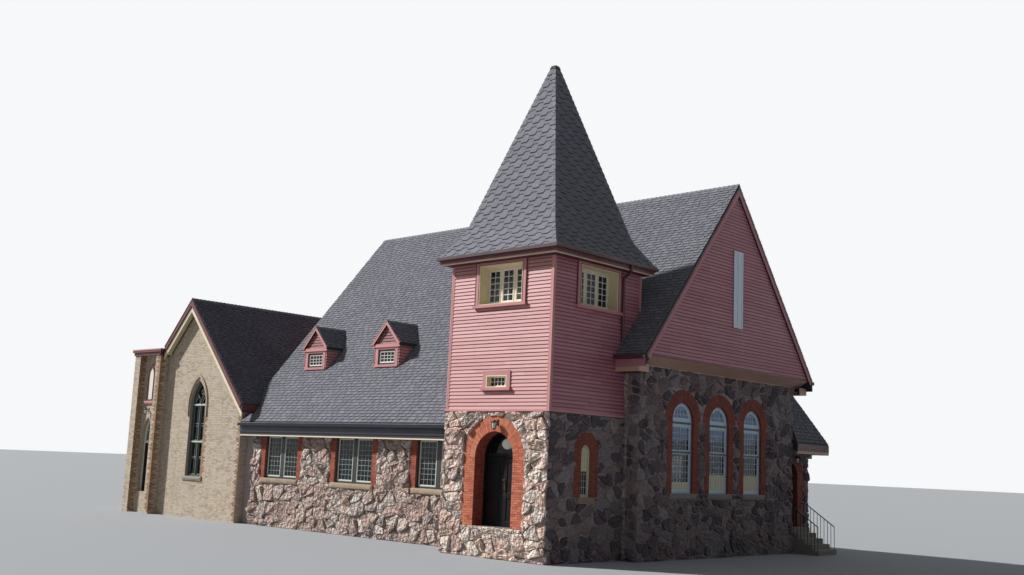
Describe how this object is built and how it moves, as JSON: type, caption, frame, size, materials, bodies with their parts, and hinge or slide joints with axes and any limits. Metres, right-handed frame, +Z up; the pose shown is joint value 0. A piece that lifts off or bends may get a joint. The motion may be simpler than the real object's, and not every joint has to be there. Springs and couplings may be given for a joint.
{
  "type": "church with a bell tower",
  "caption": "Stone and clapboard church with a square bell tower under a flared spire, a steep gabled hall, dormers, arched windows and a small brick chapel.",
  "frame": {"origin": "on the foot of the walls, under the middle of the main door, 225 mm behind the front of the tower", "axes": "+X along the hall towards the gable with three arched windows, +Y into the building from the main door, +Z up"},
  "size_m": [28.336, 16.4553, 16.39],
  "materials": {
    "fieldstone": "rough split fieldstone in light mortar",
    "red_boards": "painted clapboard, satin",
    "shingles": "granulated charcoal shingles, matt",
    "gutter_metal": "dark enamel",
    "cream_paint": "painted joinery, satin",
    "window_glass": "clear window glass",
    "red_brick": "orange-red clay brick",
    "dressed_stone": "dressed sill stone",
    "dark_door": "dark painted panelled doors",
    "black_iron": "black painted iron",
    "floor_boards": "plain boarded floor",
    "buff_brick": "buff clay brick"
  },
  "bodies": {
    "building": {"chapel_eaves": "red_boards", "chapel_front_wall": "buff_brick", "chapel_glass": "window_glass", "chapel_rear_wall": "buff_brick", "chapel_roof": "shingles", "chapel_side_walls": "buff_brick", "chapel_trim": "buff_brick", "chapel_windows": "cream_paint", "door_arch": "red_brick", "door_fanlight": "window_glass", "door_frame": "dark_door", "dormer_roofs": "shingles", "dormers": "red_boards", "floors": "floor_boards", "gable_siding": "red_boards", "gable_wall": "fieldstone", "gable_windows": "cream_paint", "hall_corner_wall": "fieldstone", "hall_eaves": "red_boards", "hall_front_wall": "fieldstone", "hall_glass": "window_glass", "hall_gutters": "gutter_metal", "hall_rear_wall": "fieldstone", "hall_roof_front": "shingles", "hall_roof_rear": "shingles", "hall_west_wall": "fieldstone", "hall_windows": "cream_paint", "porch_cornice": "red_boards", "porch_door_frame": "cream_paint", "porch_doorstep": "buff_brick", "porch_front_wall_left": "buff_brick", "porch_front_wall_over_door": "buff_brick", "porch_front_wall_right": "buff_brick", "porch_walls": "buff_brick", "side_door_arch": "red_brick", "side_doorstep": "fieldstone", "side_railings": "black_iron", "side_steps": "red_brick", "side_wall": "fieldstone", "side_wall_over_door": "fieldstone", "tower_cornice": "red_boards", "tower_doorstep": "fieldstone", "tower_front_wall_left": "fieldstone", "tower_front_wall_over_door": "fieldstone", "tower_front_wall_right": "fieldstone", "tower_glass": "window_glass", "tower_gutter": "gutter_metal", "tower_left_wall": "fieldstone", "tower_rear_wall": "fieldstone", "tower_right_wall": "fieldstone", "tower_roof": "shingles", "tower_siding": "red_boards", "tower_windows": "cream_paint", "wall_lanterns": "black_iron", "window_sills": "dressed_stone", "window_surrounds": "red_brick"},
    "left_door": {"left_door": "dark_door"},
    "right_door": {"right_door": "dark_door"},
    "side_door": {"side_door": "dark_door"},
    "chapel_door": {"porch_door": "dark_door"}
  },
  "joints": [
    {"name": "left_door_hinge", "type": "hinge", "parent": "building", "child": "left_door", "pos_m": [-0.738, 0.323, 2], "axis": [0, 0, 1], "range_deg": [0, 95]},
    {"name": "right_door_hinge", "type": "hinge", "parent": "building", "child": "right_door", "pos_m": [0.738, 0.323, 2], "axis": [0, 0, -1], "range_deg": [0, 95]},
    {"name": "side_door_hinge", "type": "hinge", "parent": "building", "child": "side_door", "pos_m": [1.892, 14.456, 2], "axis": [0, 0, -1], "range_deg": [0, 95]},
    {"name": "chapel_door_hinge", "type": "hinge", "parent": "building", "child": "chapel_door", "pos_m": [-23.53, 1.145, 2], "axis": [0, 0, 1], "range_deg": [0, 95]}
  ]
}
